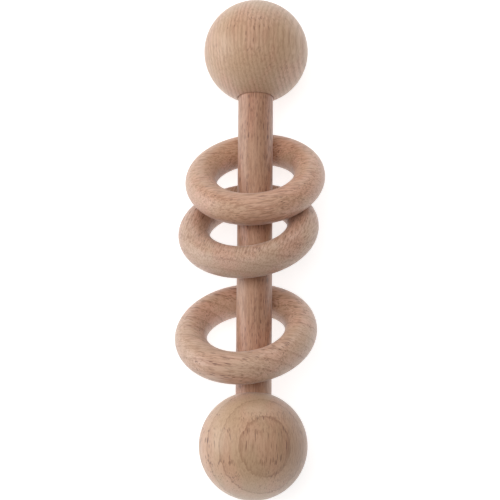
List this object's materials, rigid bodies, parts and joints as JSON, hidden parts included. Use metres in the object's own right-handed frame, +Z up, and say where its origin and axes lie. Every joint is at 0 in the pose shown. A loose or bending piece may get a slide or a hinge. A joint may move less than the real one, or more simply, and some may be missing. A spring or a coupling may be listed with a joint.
{
  "type": "baby rattle",
  "caption": "Natural wood baby rattle: a straight dowel with a ball glued on each end and loose rings that slide and clack along it.",
  "frame": {"origin": "on the surface the rattle lies on, under the centre of its bounding box; the dowel's axis is 1.15 mm to +X of it because the loose rings lie over to -X", "axes": "+Y along the dowel from the bottom ball to the top ball, +Z up away from the surface, +X to the right when looking along +Y"},
  "size_m": [0.0422, 0.145, 0.03],
  "materials": {
    "dowel_beech": "unfinished sanded beech, grain along the dowel",
    "top_ball_beech": "unfinished sanded beech, growth rings seen edge on",
    "bottom_ball_beech": "unfinished sanded beech, growth rings seen face on",
    "ring_upper_beech": "unfinished sanded beech, grain across the ring",
    "ring_middle_beech": "unfinished sanded beech, end grain towards the viewer",
    "ring_lower_beech": "unfinished sanded beech, grain across the ring"
  },
  "bodies": {
    "bar": {"dowel": "dowel_beech", "top_ball": "top_ball_beech", "bottom_ball": "bottom_ball_beech"},
    "upper_ring": {"ring_upper": "ring_upper_beech"},
    "middle_ring": {"ring_middle": "ring_middle_beech"},
    "lower_ring": {"ring_lower": "ring_lower_beech"}
  },
  "joints": [
    {"name": "upper_ring_slide", "type": "slide", "parent": "bar", "child": "upper_ring", "axis": [0, 1, 0], "range_m": [0, 0.0097]},
    {"name": "middle_ring_slide", "type": "slide", "parent": "bar", "child": "middle_ring", "axis": [0, 1, 0], "range_m": [-0.0077, 0]},
    {"name": "lower_ring_slide", "type": "slide", "parent": "bar", "child": "lower_ring", "axis": [0, 1, 0], "range_m": [-0.003, 0.0077]}
  ]
}
